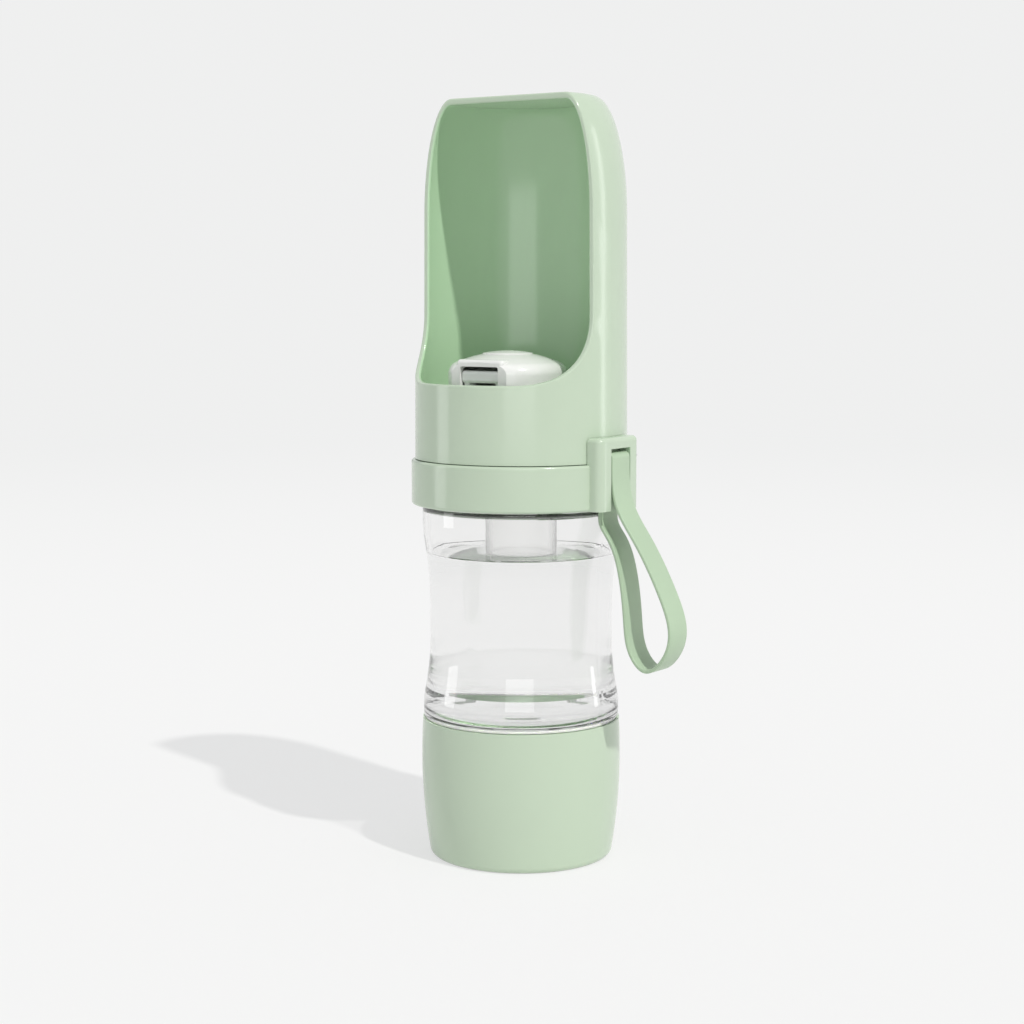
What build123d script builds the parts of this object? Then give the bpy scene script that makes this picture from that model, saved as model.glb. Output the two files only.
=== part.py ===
"""Travel water bottle for a dog: a clear waisted bottle that stands on a screwed-on food cup
and carries a screwed-on drinking hood, whose valve dome lets the water out into the hood.

Millimetres, +Z up. The origin is on the bottle's axis, on the floor under the food cup.
The hood opens towards -Y, and the carry strap hangs at +X.
"""
import math
import os

from build123d import *

os.makedirs("parts", exist_ok=True)

# ---- driving dimensions: the food cup -------------------------------------------------------
overall_height = 275.0        # floor to the top of the hood
cup_height = 51.0             # floor to the cup's rim
cup_rim_step = 0.1            # the cup's rim stands this far outside the bottle's shoulder
cup_belly_set = 0.1           # the barrel's belly lies this far inside the rim
cup_foot_draw = 2.8           # the barrel's foot, before its edge is rounded, inside the rim
cup_belly_share = 0.43        # belly height as a share of the cup's height
cup_wall = 2.0
cup_floor = 2.4
cup_foot_rounding = 2.6
cup_inner_rounding = 6.0

# ---- driving dimensions: the bottle ---------------------------------------------------------
flange_step = 0.3             # the clear flange lies this far inside the cup's rim
shoulder_step = 4.1           # the shoulder stands this far outside the neck
waist_draw = 2.6              # the hand holds the waist, this much slimmer than the shoulder
body_height = 77.0            # flange to shoulder
bottle_wall = 2.0
bottle_floor = 2.2
floor_drop = 2.8              # underside of the bottle's floor below the flange
chamber_rounding = 8.0        # corner between the chamber's floor and its side
spigot_length = 11.2          # threaded spigot that enters the food cup
spigot_wall = 2.2
neck_wall = 2.0
neck_height = 27.4
shoulder_rounding = 1.0
shoulder_wall = 1.2           # the bottle's top under its collar
punt_radius = 10.4            # round gate recess under the floor
punt_depth = 0.8
shoulder_inner_rounding = 1.2
chamber_foot = 0.4            # the chamber is this much wider at its floor than above it
chamber_lean = -0.12          # slope of the chamber's wall where it leaves the floor
# up the waisted side: share of the body's height, share of the way out from the waist
waist_below = [(0.06, 1.0), (0.13, 0.72), (0.27, 0.10), (0.45, 0.0), (0.63, 0.12)]
waist_above = [(0.80, 0.62), (0.93, 1.0)]

# ---- driving dimensions: the hood -----------------------------------------------------------
hood_base_radius = 38.5       # the bottle, the cup, the collar and the valve's place follow it
hood_draft = 0.5              # the hood is this much slimmer where its rounded top starts
hood_wall = 2.2
dome_drop = 42.0              # height of the hood's rounded top
dome_reach = 12.0             # how far that rounding draws the wall in
opening_set = 9.3             # the opening's face lies this far in front of the axis
lip_height = 27.6             # the low front lip above the hood's lower edge
opening_sweep = 24.0          # radius from the low lip up to the opening's upright edges
trough_floor = 2.9
trough_rounding = 3.0
socket_wall = 1.8             # threaded socket inside the hood's skirt
socket_lift = 1.2             # the socket's lower end above the bottle's shoulder
skirt_room = 1.4              # between the socket and the hood's skirt
rim_rounding = 0.7

# ---- driving dimensions: the collar, its lug and the strap -----------------------------------
collar_step = 1.3             # the collar stands this far outside the hood
collar_height = 16.3
collar_rounding = 1.0
collar_skin = 1.7             # walls of the cored-out collar
collar_roof = 2.0
lug_step = 2.9                # the lug's outer face stands this far outside the collar
lug_width = 25.2
lug_height = 25.7
lug_rounding = 3.0
lug_top_rounding = 1.6
channel_width = 12.5          # slot in the lug that the strap hangs in
channel_roof = 3.9            # lug above the channel
channel_wall = 1.5            # left between the channel and the collar's bore
strap_width = 11.5
strap_thickness = 1.2
strap_pin_radius = 0.7
strap_pin_drop = 3.3          # pin's axis below the top of the channel
strap_pin_hold = 2.1          # blind end of the pin's hole, past the channel
# the strap's middle line, outward of the pin's axis and below the pin's axis
strap_hang = [(1.5, 7.0), (3.6, 17.2), (10.2, 27.8), (21.4, 47.3), (25.4, 60.8), (22.4, 69.6),
              (15.4, 74.2), (10.2, 70.0), (7.1, 57.6), (4.6, 39.8), (0.1, 28.6), (-3.3, 23.0),
              (-3.1, 17.5)]
strap_steps = 48              # points along each face of the band

# ---- driving dimensions: the valve dome and the valve ---------------------------------------
dome_room = 6.5               # trough floor left between the dome's front and the hood's wall
dome_clear = 0.5              # between the dome's back and the upstand inside it
dome_wall = 1.8
dome_height = 21.4            # above its seal
dome_sag = 5.0                # fall of the crown from the middle to the side
dome_rounding = 4.5           # corner between crown and side
disc_radius = 9.0             # access disc let into the crown
disc_spigot_radius = 6.4
disc_spigot_length = 3.0
disc_edge = 0.9               # height of the disc's edge
disc_stand = 0.35             # that the disc stands out of the crown
disc_rounding = 0.3
snout_width = 20.4            # squared brow over the flat front that frames the outlet
snout_set = 3.6               # the flat front behind the dome's front
snout_drop = 2.5              # snout's top below the crown
snout_rounding = 1.4
window_cheek = 2.0            # frame at each side of the outlet
window_lintel = 2.5           # frame above it
window_sill = 1.8
window_depth = 7.0            # from the snout's face back through the dome's wall
window_rounding = 0.8
barrel_radius = 13.0          # valve barrel that dips into the bottle
barrel_wall = 1.8
barrel_length = 45.6
port_width = 9.0
port_height = 9.5
port_count = 4
valve_flange_set = 2.2        # its edge inside the neck's outside
valve_flange = 2.5
seat_radius = 6.5             # hole that the valve plug closes
seat_web = 2.2
seat_drop = 4.0               # the seat's underside below the valve's flange
port_drop = 1.2               # the ports' upper ends below the seat
throat_radius = 9.0
upstand_wall = 1.5
guide_radius = 4.2            # hub of the spider that guides the stem
guide_height = 2.0
spoke_width = 1.8
spoke_count = 3
stem_radius = 1.5
plug_radius = 9.0
plug_height = 3.9
plug_toe_radius = 6.3
plug_taper = 1.75             # height of the plug's cone
plug_rounding = 0.45
stem_head_radius = 4.5
stem_head_height = 1.5
spring_radius = 3.1           # to the middle of the wire
spring_wire = 0.35            # radius of the wire
spring_turns = 5
spring_length = 6.6
spring_cap_height = 2.8
spring_cap_rim = 1.26         # height of the spring cap's wide part
spring_cap_neck = 1.68        # where its narrow top begins
spring_cap_top_radius = 2.7
spring_cap_roof = 0.8
key_pad_height = 4.3
key_pad_depth = 3.4
key_pad_drop = 1.5            # the pad's top below the window's top
key_pad_set = 1.0             # the pad's face behind the snout's face
key_pad_rounding = 1.15
key_pin_radius = 1.0
key_pin_set = 6.2             # the pin behind the snout's face
key_pin_height = 5.6          # the pin above the dome's seal
key_arm = 2.2                 # radius of the hub round the pin, and thickness of the side arms
key_arm_tip = 1.36            # radius of the arms' ends in the pad
key_lever_width = 5.0
key_lever_radius = 1.4
key_lever_rise = 0.6          # the lever's root above the pin
key_nose_radius = 1.2
ear_width = 2.0               # cheeks that hold the pin
ear_length = 10.0
ear_rise = 3.0                # above the pin
screw_radius = 1.25
screw_head_radius = 2.3
screw_head_height = 1.6
screw_length = 12.0
screw_boss_radius = 2.6
screw_boss_spare = 2.4        # boss beyond the screw's tip
screw_front_set = 1.7         # front pair inside the dome's inner wall
screw_front_turn = -51.8      # degrees round the dome from its side to the front pair
screw_back_set = 1.94         # back pair inside the dome's inner wall
screw_back_room = 1.39        # between the back pair's heads and the barrel

# ---- seals ----------------------------------------------------------------------------------
cup_seal_thickness = 0.8
mouth_seal_thickness = 2.4
dome_seal_thickness = 0.8
flange_seal_thickness = 0.8
flange_seal_width = 1.6
flange_seal_inset = 0.8       # from the flange's edge

# ---- clearances -----------------------------------------------------------------------------
seat_gap = 0.3                # between pieces that turn or lift against each other
seal_gap = 0.2                # above and below a seal that is not clamped
thread_gap = 1.3              # radial room that the threads fill
fit_gap = 0.1                 # pressed or bonded pieces
pin_gap = 0.1                 # around a pin that something turns on
side_gap = 0.3                # at each end of the key in its window
strap_gap = 0.4               # between the strap's fold and the hood's skirt

# ---- radii that follow from each other, from the hood's lower edge inwards and outwards --------
hood_upper_radius = hood_base_radius - hood_draft
socket_outer = hood_base_radius - hood_wall - skirt_room
socket_radius = socket_outer - socket_wall
neck_radius = socket_radius - thread_gap                # root of the neck's thread
shoulder_radius = neck_radius + shoulder_step           # the bottle just under its collar
waist_radius = shoulder_radius - waist_draw
cup_rim_radius = shoulder_radius + cup_rim_step
cup_belly_radius = cup_rim_radius - cup_belly_set
cup_base_radius = cup_rim_radius - cup_foot_draw
flange_radius = cup_rim_radius - flange_step
collar_radius = hood_base_radius + collar_step
lug_face = collar_radius + lug_step
valve_flange_radius = neck_radius - valve_flange_set
upstand_radius = throat_radius + upstand_wall

# ---- the dome stands over the upstand and reaches forward to the trough ------------------------
dome_front = hood_base_radius - hood_wall - dome_room
dome_back = upstand_radius + dome_clear + dome_wall
dome_radius = (dome_front + dome_back) / 2
dome_offset = (dome_front - dome_back) / 2              # the dome's centre in front of the axis
inner_radius = dome_radius - dome_wall
snout_reach = dome_radius - snout_set
snout_height = dome_height - snout_drop
window_width = snout_width - 2 * window_cheek
window_height = snout_height - window_sill - window_lintel
key_pin_reach = snout_reach - key_pin_set

# ---- screws: the front pair round the dome, the back pair where two circles about the valve
# ---- and about the dome cross ------------------------------------------------------------------
front_turn = math.radians(screw_front_turn)
front_ring = inner_radius - screw_front_set
screw_front = (front_ring * math.cos(front_turn), front_ring * math.sin(front_turn) - dome_offset)
back_ring = inner_radius - screw_back_set
valve_ring = barrel_radius + screw_head_radius + screw_back_room
back_y = (back_ring ** 2 - valve_ring ** 2 - dome_offset ** 2) / (2 * dome_offset)
screw_back = (math.sqrt(valve_ring ** 2 - back_y ** 2), back_y)
screw_spots = [(side * x, y) for x, y in (screw_front, screw_back) for side in (1, -1)]

# ---- levels above the floor -----------------------------------------------------------------
channel_height = lug_height - channel_roof
flange_z = cup_height + cup_seal_thickness + 2 * seal_gap
shoulder_z = flange_z + body_height
collar_z = shoulder_z + seat_gap
collar_top = collar_z + collar_height
hood_z = collar_top + seat_gap
neck_top = shoulder_z + neck_height
socket_top = neck_top + mouth_seal_thickness + 2 * seat_gap
trough_z = socket_top + trough_floor
lip_z = hood_z + lip_height

# ======================================= food cup ============================================
belly_z = cup_height * cup_belly_share
with BuildPart() as food_cup:
    with BuildSketch(Plane.XZ) as cup_outside:
        with BuildLine():
            Line((0, 0), (cup_base_radius, 0))
            ThreePointArc((cup_base_radius, 0), (cup_belly_radius, belly_z), (cup_rim_radius, cup_height))
            Line((cup_rim_radius, cup_height), (0, cup_height))
            Line((0, cup_height), (0, 0))
        make_face()
        fillet([v for v in cup_outside.vertices() if v.X > cup_wall and v.Y < cup_wall], cup_foot_rounding)
    revolve(axis=Axis.Z)
    with BuildSketch(Plane.XZ) as cup_inside:
        with BuildLine():
            Line((0, cup_floor), (cup_base_radius - cup_wall, cup_floor))
            ThreePointArc((cup_base_radius - cup_wall, cup_floor),
                          (cup_belly_radius - cup_wall, belly_z),
                          (cup_rim_radius - cup_wall, cup_height))
            Line((cup_rim_radius - cup_wall, cup_height), (0, cup_height))
            Line((0, cup_height), (0, cup_floor))
        make_face()
        inner_foot = [v for v in cup_inside.vertices() if v.X > cup_wall and v.Y < belly_z]
        fillet(inner_foot, cup_inner_rounding)
    revolve(axis=Axis.Z, mode=Mode.SUBTRACT)
food_cup.part.label = "food_cup"
export_step(food_cup.part, "parts/food_cup.step")

# ================================ seal between cup and bottle ================================
spigot_radius = cup_rim_radius - cup_wall - thread_gap
with BuildPart() as cup_gasket:
    with BuildSketch(Plane.XY.offset(cup_height + seal_gap)):
        Circle(flange_radius - 2 * seat_gap)
        Circle(spigot_radius + seat_gap, mode=Mode.SUBTRACT)
    extrude(amount=cup_seal_thickness)
cup_gasket.part.label = "cup_gasket"
export_step(cup_gasket.part, "parts/cup_gasket.step")

# ========================================= bottle ============================================
floor_under = flange_z - floor_drop
floor_top = floor_under + bottle_floor


def bottle_side(inset):
    """Points up the waisted side, drawn in from the outer surface by inset."""
    lower = [(waist_radius + k * (flange_radius - waist_radius), flange_z + h * body_height)
             for h, k in waist_below]
    upper = [(waist_radius + k * (shoulder_radius - waist_radius), flange_z + h * body_height)
             for h, k in waist_above]
    return [(r - inset, z) for r, z in lower + upper]


with BuildPart() as bottle:
    with BuildSketch(Plane.XZ) as bottle_outside:
        with BuildLine():
            side = bottle_side(0)
            Polyline((0, floor_under), (spigot_radius - spigot_wall, floor_under),
                     (spigot_radius - spigot_wall, flange_z - spigot_length),
                     (spigot_radius, flange_z - spigot_length), (spigot_radius, flange_z),
                     (flange_radius, flange_z), side[0])
            Spline(*side, tangents=[(0, 1), (0, 1)])
            Polyline(side[-1], (shoulder_radius, shoulder_z), (neck_radius, shoulder_z),
                     (neck_radius, neck_top), (0, neck_top), (0, floor_under))
        make_face()
        shoulder_edge = [v for v in bottle_outside.vertices()
                         if abs(v.X - shoulder_radius) < 0.01 and abs(v.Y - shoulder_z) < 0.01]
        fillet(shoulder_edge, shoulder_rounding)
    revolve(axis=Axis.Z)
    with BuildSketch(Plane.XZ) as chamber:
        with BuildLine():
            inside = [p for p in bottle_side(bottle_wall) if p[1] > floor_top + chamber_rounding]
            chamber_top = shoulder_z - shoulder_wall
            Polyline((0, floor_top), (inside[0][0] + chamber_foot, floor_top), inside[0])
            Spline(*inside, tangents=[(chamber_lean, 1), (0, 1)])
            Polyline(inside[-1], (shoulder_radius - bottle_wall, chamber_top),
                     (neck_radius - neck_wall, chamber_top), (neck_radius - neck_wall, neck_top),
                     (0, neck_top), (0, floor_top))
        make_face()
        bend = [v for v in chamber.vertices()
                if abs(v.Y - floor_top) < 0.01 and v.X > neck_wall]
        fillet(bend, chamber_rounding)
        under_shoulder = [v for v in chamber.vertices()
                          if abs(v.Y - chamber_top) < 0.01 and v.X > neck_radius]
        fillet(under_shoulder, shoulder_inner_rounding)
    revolve(axis=Axis.Z, mode=Mode.SUBTRACT)
    with BuildSketch(Plane.XY.offset(floor_under)):
        Circle(punt_radius)
    extrude(amount=punt_depth, mode=Mode.SUBTRACT)
bottle.part.label = "bottle"
export_step(bottle.part, "parts/bottle.step")

# ============================ seal between the bottle's mouth and the hood ===================
with BuildPart() as hood_gasket:
    with BuildSketch(Plane.XY.offset(neck_top + seat_gap)):
        Circle(socket_radius - seat_gap)
        Circle(valve_flange_radius + seat_gap, mode=Mode.SUBTRACT)
    extrude(amount=mouth_seal_thickness)
hood_gasket.part.label = "hood_gasket"
export_step(hood_gasket.part, "parts/hood_gasket.step")

# ============================== hood, the drinking trough ====================================
dome_start = overall_height - dome_drop
flat_radius = hood_upper_radius - dome_reach
socket_foot = shoulder_z + socket_lift
with BuildPart() as hood:
    with BuildSketch(Plane.XZ) as hood_section:
        with BuildLine():
            # outside: skirt, upright wall and rounded top
            Line((hood_base_radius, hood_z), (hood_upper_radius, dome_start))
            EllipticalCenterArc((flat_radius, dome_start), dome_reach, dome_drop,
                                start_angle=0, arc_size=90)
            Line((flat_radius, overall_height), (0, overall_height))
            # inside: rounded top, wall and trough floor
            Line((0, overall_height), (0, overall_height - hood_wall))
            Line((0, overall_height - hood_wall), (flat_radius, overall_height - hood_wall))
            EllipticalCenterArc((flat_radius, dome_start), dome_reach - hood_wall,
                                dome_drop - hood_wall, start_angle=0, arc_size=90)
            Polyline((hood_upper_radius - hood_wall, dome_start),
                     (hood_base_radius - hood_wall, trough_z),
                     (upstand_radius + fit_gap, trough_z), (upstand_radius + fit_gap, socket_top),
                     (socket_radius, socket_top), (socket_radius, socket_foot),
                     (socket_outer, socket_foot), (socket_outer, socket_top - hood_wall),
                     (hood_base_radius - hood_wall, socket_top - hood_wall),
                     (hood_base_radius - hood_wall, hood_z), (hood_base_radius, hood_z))
        make_face()
        floor_corner = [v for v in hood_section.vertices()
                        if abs(v.Y - trough_z) < 0.01 and v.X > socket_radius]
        fillet(floor_corner, trough_rounding)
    revolve(axis=Axis.Z)
    # the opening: a level front lip that sweeps up into two upright edges
    with BuildSketch(Plane.YZ) as opening:
        with BuildLine():
            far = 2 * collar_radius
            Polyline((-far, lip_z), (-opening_set, lip_z), (-opening_set, overall_height + hood_wall),
                     (-far, overall_height + hood_wall), close=True)
        make_face()
        sweep_corner = [v for v in opening.vertices()
                        if abs(v.Y - lip_z) < 0.01 and v.X > -far / 2]
        fillet(sweep_corner, opening_sweep)
    extrude(amount=2 * collar_radius, both=True, mode=Mode.SUBTRACT)
    with Locations(*[(x, y, trough_z) for x, y in screw_spots]):
        Hole(screw_radius + fit_gap, depth=trough_floor)
    rim_edges = [e for e in hood.part.edges()
                 if e.center().Z > lip_z - 1 and e.bounding_box().max.Y < -opening_set + 0.01]
    fillet(rim_edges, rim_rounding)
hood.part.label = "hood"
export_step(hood.part, "parts/hood.step")

# ==================================== collar ring with lug ===================================
collar_bore = socket_outer + seat_gap
channel_back = collar_bore + channel_wall
channel_top = collar_z + channel_height
hood_clear = hood_base_radius + seat_gap
with BuildPart() as collar_ring:
    with BuildSketch(Plane.XZ) as collar_section:
        with BuildLine():
            core_top = collar_top - collar_roof
            Polyline((collar_bore, collar_z), (collar_bore, collar_top), (collar_radius, collar_top),
                     (collar_radius, collar_z), (collar_radius - collar_skin, collar_z),
                     (collar_radius - collar_skin, core_top), (collar_bore + collar_skin, core_top),
                     (collar_bore + collar_skin, collar_z), close=True)
        make_face()
        outer_corners = [v for v in collar_section.vertices() if abs(v.X - collar_radius) < 0.01]
        fillet(outer_corners, collar_rounding)
    revolve(axis=Axis.Z)
    # the lug stands on the ring and rises past its top
    lug_root = collar_bore + collar_skin / 2
    with BuildSketch(Plane.XY.offset(collar_z)) as lug_plan:
        with Locations(((lug_root + lug_face) / 2, 0)):
            Rectangle(lug_face - lug_root, lug_width)
        fillet(lug_plan.vertices().group_by(Axis.X)[-1], lug_rounding)
    extrude(amount=lug_height)
    lug_top_edges = [e for e in collar_ring.part.edges()
                     if abs(e.center().Z - collar_z - lug_height) < 0.01 and e.center().X > lug_root + 0.01]
    fillet(lug_top_edges, lug_top_rounding)
    # clear of the hood above the ring
    with BuildSketch(Plane.XY.offset(collar_top)):
        Circle(hood_clear)
    extrude(amount=lug_height, mode=Mode.SUBTRACT)
    # the channel for the strap, open in front and below
    with BuildSketch(Plane.XY.offset(collar_z)):
        with Locations(((channel_back + 2 * lug_face) / 2, 0)):
            Rectangle(2 * lug_face - channel_back, channel_width)
    extrude(amount=channel_height, mode=Mode.SUBTRACT)
    # blind hole for the pin, from the side away from the opening
    pin_x = hood_base_radius + strap_gap + strap_thickness + fit_gap + strap_pin_radius
    pin_z = channel_top - strap_pin_drop
    pin_reach = channel_width / 2 + strap_pin_hold
    with Locations(Plane(origin=(pin_x, lug_width / 2, pin_z), z_dir=(0, 1, 0))):
        Hole(strap_pin_radius, depth=lug_width / 2 + pin_reach)
collar_ring.part.label = "collar_ring"
export_step(collar_ring.part, "parts/collar_ring.step")

with BuildPart() as strap_pin:
    with BuildSketch(Plane(origin=(pin_x, -pin_reach, pin_z), z_dir=(0, 1, 0))):
        Circle(strap_pin_radius)
    extrude(amount=lug_width / 2 + pin_reach)
strap_pin.part.label = "strap_pin"
export_step(strap_pin.part, "parts/strap_pin.step")

# =========================================== strap ===========================================
# The strap is one closed band. Its middle line goes round the pin and hangs as a loop.
fold = strap_pin_radius + fit_gap + strap_thickness / 2
with BuildLine() as middle_line:
    over_pin = CenterArc((pin_x, pin_z), fold, 0, 180)
    hanging = Spline(over_pin @ 0, *[(pin_x + out, pin_z - down) for out, down in strap_hang], over_pin @ 1,
                     tangents=[(0, -1), (0, 1)])


def band_edge(set_off):
    """One face of the band: an arc round the pin, and a curve beside the middle line."""
    round_pin = CenterArc((pin_x, pin_z), fold + set_off, 0, 180)
    beside = []
    for step in range(1, strap_steps):
        way = hanging % (step / strap_steps)
        beside.append(hanging @ (step / strap_steps) + set_off * Vector(-way.Y, way.X, 0))
    Spline(round_pin @ 0, *beside, round_pin @ 1, tangents=[(0, -1), (0, 1)])


with BuildPart() as strap:
    with BuildSketch(Plane.XZ) as band:
        with BuildLine():
            band_edge(strap_thickness / 2)
        make_face()
        with BuildLine():
            band_edge(-strap_thickness / 2)
        make_face(mode=Mode.SUBTRACT)
    extrude(amount=strap_width / 2, both=True)
strap.part.label = "strap"
export_step(strap.part, "parts/strap.step")

# ================================ valve body with its barrel =================================
flange_under = socket_top - valve_flange
barrel_end = flange_under - barrel_length
seat_under = flange_under - seat_drop
seat_top = seat_under + seat_web
guide_z = flange_under
spoke_length = (throat_radius + upstand_radius) / 2
spring_foot = guide_z + guide_height
plug_top = seat_under - seat_gap
plug_under = plug_top - plug_height
port_z = seat_under - port_drop - port_height / 2
seal_radius = valve_flange_radius - flange_seal_inset
with BuildPart() as valve_body:
    with BuildSketch(Plane.XZ):
        with BuildLine():
            bore = barrel_radius - barrel_wall
            Polyline((bore, barrel_end), (barrel_radius, barrel_end), (barrel_radius, flange_under),
                     (valve_flange_radius, flange_under), (valve_flange_radius, socket_top),
                     (seal_radius, socket_top), (seal_radius, socket_top - flange_seal_thickness),
                     (seal_radius - flange_seal_width, socket_top - flange_seal_thickness),
                     (seal_radius - flange_seal_width, socket_top), (upstand_radius, socket_top),
                     (upstand_radius, trough_z), (throat_radius, trough_z),
                     (throat_radius, seat_top), (seat_radius, seat_top),
                     (seat_radius, seat_under), (bore, seat_under), close=True)
        make_face()
    revolve(axis=Axis.Z)
    # spider that guides the stem
    with BuildSketch(Plane.XY.offset(guide_z)) as spider:
        with PolarLocations(0, spoke_count, start_angle=90):
            with Locations((spoke_length / 2, 0)):
                Rectangle(spoke_length, spoke_width)
        Circle(guide_radius)
        Circle(stem_radius + pin_gap, mode=Mode.SUBTRACT)
    extrude(amount=guide_height)
    # inlet ports beside the plug
    with PolarLocations(0, port_count, start_angle=45):
        with Locations((barrel_radius, 0, port_z)):
            Box(4 * barrel_wall, port_width, port_height, mode=Mode.SUBTRACT)
    with Locations(*[(x, y, socket_top) for x, y in screw_spots]):
        Hole(screw_radius + fit_gap, depth=valve_flange)
valve_body.part.label = "valve_body"
export_step(valve_body.part, "parts/valve_body.step")

with BuildPart() as flange_seal:
    with BuildSketch(Plane.XY.offset(socket_top - flange_seal_thickness)):
        Circle(seal_radius)
        Circle(seal_radius - flange_seal_width, mode=Mode.SUBTRACT)
    extrude(amount=flange_seal_thickness)
flange_seal.part.label = "flange_seal"
export_step(flange_seal.part, "parts/flange_seal.step")

# ============================= stem, plug, spring and spring cap =============================
spring_top = spring_foot + spring_length + 2 * seat_gap
stem_head = plug_under - stem_head_height
spring_cap_top = spring_top + spring_cap_height
stem_top = spring_cap_top - spring_cap_roof
with BuildPart() as valve_stem:
    with BuildSketch(Plane.XZ):
        with BuildLine():
            Polyline((0, stem_head), (stem_head_radius, stem_head), (stem_head_radius, plug_under),
                     (stem_radius, plug_under), (stem_radius, stem_top), (0, stem_top), close=True)
        make_face()
    revolve(axis=Axis.Z)
valve_stem.part.label = "valve_stem"
export_step(valve_stem.part, "parts/valve_stem.step")

with BuildPart() as valve_plug:
    with BuildSketch(Plane.XZ) as plug_section:
        with BuildLine():
            Polyline((stem_radius, plug_under), (plug_toe_radius, plug_under),
                     (plug_radius, plug_under + plug_taper), (plug_radius, plug_top),
                     (stem_radius, plug_top), close=True)
        make_face()
        fillet([v for v in plug_section.vertices() if v.X > stem_head_radius], plug_rounding)
    revolve(axis=Axis.Z)
valve_plug.part.label = "valve_plug"
export_step(valve_plug.part, "parts/valve_plug.step")

with BuildPart() as valve_spring:
    coil_foot = spring_foot + seat_gap + spring_wire
    coil_rise = spring_length - 2 * spring_wire
    with BuildLine() as coil:
        Helix(pitch=coil_rise / spring_turns, height=coil_rise, radius=spring_radius,
              center=(0, 0, coil_foot))
    with BuildSketch(Plane(origin=coil.line @ 0, z_dir=coil.line % 0)):
        Circle(spring_wire)
    sweep(is_frenet=True)
valve_spring.part.label = "valve_spring"
export_step(valve_spring.part, "parts/valve_spring.step")
print("spring turns lie", round(coil_rise / spring_turns - 2 * spring_wire, 2), "mm apart")

with BuildPart() as spring_cap:
    with BuildSketch(Plane.XZ) as spring_cap_section:
        with BuildLine():
            Polyline((stem_radius, spring_top), (guide_radius, spring_top),
                     (guide_radius, spring_top + spring_cap_rim),
                     (spring_cap_top_radius, spring_top + spring_cap_neck),
                     (spring_cap_top_radius, spring_cap_top), (0, spring_cap_top),
                     (0, stem_top), (stem_radius, stem_top), close=True)
        make_face()
    revolve(axis=Axis.Z)
spring_cap.part.label = "spring_cap"
export_step(spring_cap.part, "parts/spring_cap.step")

# ======================================= valve dome ==========================================
seal_top = trough_z + dome_seal_thickness
crown_z = seal_top + dome_height
disc_fall = dome_sag * (disc_radius / dome_radius) ** 2     # fall of the crown under the disc
disc_seat = crown_z - disc_fall - disc_edge + disc_stand
window_z = seal_top + window_sill
window_top = window_z + window_height
snout_top = seal_top + snout_height
snout_face = -dome_offset - snout_reach
dome_axis = Axis((0, -dome_offset, 0), (0, 0, 1))
dome_plane = Plane(origin=(0, -dome_offset, 0), x_dir=(1, 0, 0), z_dir=(0, -1, 0))
ear_inside = window_width / 2 + fit_gap
boss_height = screw_length - valve_flange - trough_floor + screw_boss_spare
pin_y = -dome_offset - key_pin_reach
pin_level = seal_top + key_pin_height


def crown_arc(radius, top):
    """Half outline of the dome: base, upright side and shallow crown."""
    Polyline((0, top), (0, seal_top), (radius, seal_top), (radius, top - dome_sag))
    ThreePointArc((radius, top - dome_sag), (radius / 2, top - dome_sag / 4), (0, top))


def crown_corner(profile, radius):
    """The outline's corner between the upright side and the crown."""
    return [v for v in profile.vertices() if v.X > radius - 0.01 and v.Y > seal_top + dome_rounding]


# the room inside the dome, flat in front as the dome is
with BuildPart() as dome_inside:
    with BuildSketch(dome_plane) as dome_hollow:
        with BuildLine():
            crown_arc(inner_radius, crown_z - dome_wall)
        make_face()
        fillet(crown_corner(dome_hollow, inner_radius), dome_rounding - dome_wall)
    revolve(axis=dome_axis)
    split(bisect_by=Plane.XZ.offset(-snout_face - dome_wall), keep=Keep.BOTTOM)

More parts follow.
